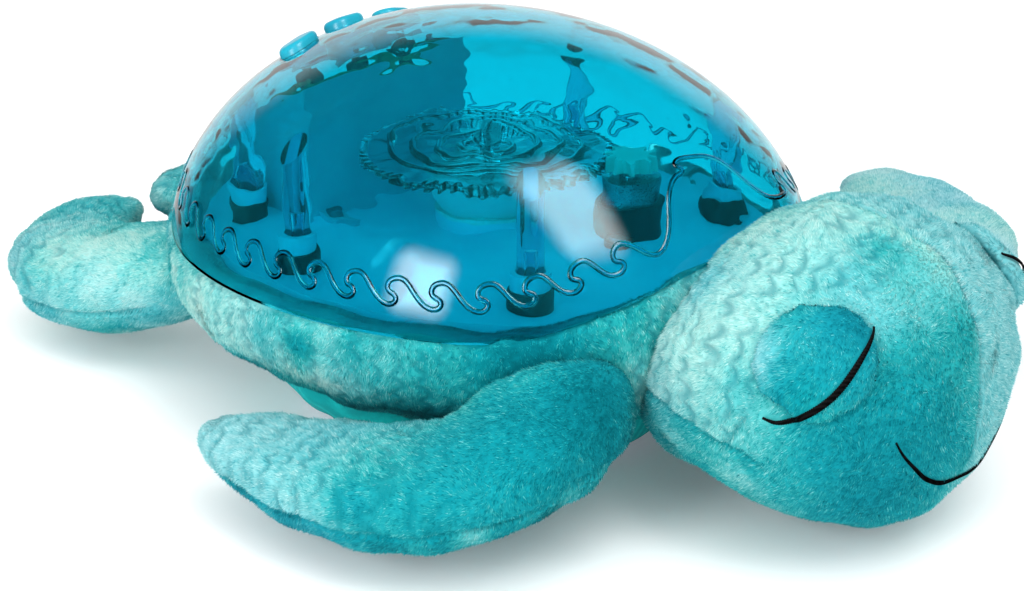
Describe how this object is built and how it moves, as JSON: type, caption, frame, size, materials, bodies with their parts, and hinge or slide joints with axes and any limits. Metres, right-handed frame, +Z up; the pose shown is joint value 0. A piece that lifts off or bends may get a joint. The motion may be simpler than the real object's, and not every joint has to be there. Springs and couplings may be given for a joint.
{
  "type": "turtle night light projector",
  "caption": "Stuffed sea turtle with a clear domed shell over a light projector whose rippled disc turns by a geared motor, worked by push buttons on the shell.",
  "frame": {"origin": "on the floor under the middle of the shell, on the flat underside of the belly", "axes": "+Z up, -Y towards the head, +X towards the turtle's left"},
  "size_m": [0.3512, 0.3968, 0.143],
  "materials": {
    "clear_shell": "polished clear aqua tint, rippled inside",
    "button_cap": "satin moulded aqua",
    "housing_plastic": "moulded, pale aqua",
    "pod_plastic": "moulded, deep aqua",
    "bracket_plastic": "moulded, near black",
    "disc_plastic": "clear, rippled",
    "reflector_plastic": "white, glossy",
    "pinion_plastic": "natural acetal",
    "screw_steel": "zinc plated",
    "motor_steel": "drawn can",
    "green_board": "solder-masked laminate",
    "white_board": "white solder-masked laminate",
    "diode_lens": "clear epoxy",
    "switch_plastic": "black moulded",
    "plug_nylon": "natural nylon",
    "speaker_steel": "black pressed steel",
    "cone_paper": "black pressed paper",
    "cell_sleeve": "plain grey sleeve",
    "contact_metal": "plated spring",
    "red_lead": "extruded insulation",
    "black_lead": "extruded insulation",
    "blue_lead": "extruded insulation",
    "white_lead": "extruded insulation",
    "grey_lead": "extruded insulation",
    "mottled_plush": "short brushed pile, mottled mint, turquoise and teal",
    "plain_plush": "short brushed pile, plain teal",
    "belly_cloth": "smooth knit, plain teal",
    "embroidery_thread": "black satin stitch"
  },
  "bodies": {
    "turtle": {"shell_dome": "clear_shell", "deck_plate": "housing_plastic", "base_bowl": "housing_plastic", "housing_screws": "screw_steel", "light_board": "white_board", "light_diodes": "diode_lens", "reflector_cup": "reflector_plastic", "disc_spindle": "motor_steel", "spindle_clip": "motor_steel", "drive_motor": "motor_steel", "motor_bracket": "bracket_plastic", "bracket_screws": "screw_steel", "button_pod": "pod_plastic", "button_board": "green_board", "tact_switches": "switch_plastic", "pod_screws": "screw_steel", "speaker_frame": "speaker_steel", "speaker_cone": "cone_paper", "main_board": "green_board", "board_parts": "plug_nylon", "board_screws": "screw_steel", "battery_cells": "cell_sleeve", "battery_contacts": "contact_metal", "battery_cover": "housing_plastic", "cover_screw": "screw_steel", "battery_leads": "red_lead", "speaker_leads": "black_lead", "motor_leads": "blue_lead", "light_leads": "white_lead", "button_leads": "grey_lead", "plush_body": "mottled_plush", "belly_panel": "belly_cloth", "head": "mottled_plush", "eyelid_right": "mottled_plush", "eyelid_left": "mottled_plush"},
    "disc": {"wave_disc": "disc_plastic"},
    "pinion": {"motor_pinion": "pinion_plastic"},
    "light_button": {"button_light": "button_cap"},
    "sound_button": {"button_sound": "button_cap"},
    "volume_button": {"button_volume": "button_cap"},
    "front_right_flipper": {"flipper_front_right": "mottled_plush"},
    "front_left_flipper": {"flipper_front_left": "mottled_plush"},
    "hind_right_flipper": {"flipper_hind_right": "mottled_plush"},
    "hind_left_flipper": {"flipper_hind_left": "mottled_plush"}
  },
  "joints": [
    {"name": "light_press", "type": "slide", "parent": "turtle", "child": "light_button", "axis": [0, -0.4354, -0.9003], "range_m": [0, 0.001], "stiffness_N_per_m": 800},
    {"name": "sound_press", "type": "slide", "parent": "turtle", "child": "sound_button", "axis": [0, -0.4354, -0.9003], "range_m": [0, 0.001], "stiffness_N_per_m": 800},
    {"name": "volume_press", "type": "slide", "parent": "turtle", "child": "volume_button", "axis": [0, -0.4354, -0.9003], "range_m": [0, 0.001], "stiffness_N_per_m": 800},
    {"name": "disc_spin", "type": "hinge", "parent": "turtle", "child": "disc", "pos_m": [0, 0, 0.0931], "axis": [0, 0, 1], "continuous": true},
    {"name": "pinion_spin", "type": "hinge", "parent": "turtle", "child": "pinion", "pos_m": [0.02162, -0.04636, 0.0931], "axis": [0, 0, 1], "continuous": true},
    {"name": "front_right_raise", "type": "hinge", "parent": "turtle", "child": "front_right_flipper", "pos_m": [-0.072, -0.09, 0.066], "axis": [0, 1, 0], "range_deg": [0, 25]},
    {"name": "front_left_raise", "type": "hinge", "parent": "turtle", "child": "front_left_flipper", "pos_m": [0.072, -0.09, 0.07], "axis": [0, -1, 0], "range_deg": [0, 25]},
    {"name": "hind_right_raise", "type": "hinge", "parent": "turtle", "child": "hind_right_flipper", "pos_m": [-0.04, 0.112, 0.061], "axis": [1, 0, 0], "range_deg": [0, 25]},
    {"name": "hind_left_raise", "type": "hinge", "parent": "turtle", "child": "hind_left_flipper", "pos_m": [0.04, 0.112, 0.061], "axis": [1, 0, 0], "range_deg": [0, 25]}
  ],
  "couplings": [
    {"joint": "pinion_spin", "follows": "disc_spin", "ratio": -5.8}
  ]
}
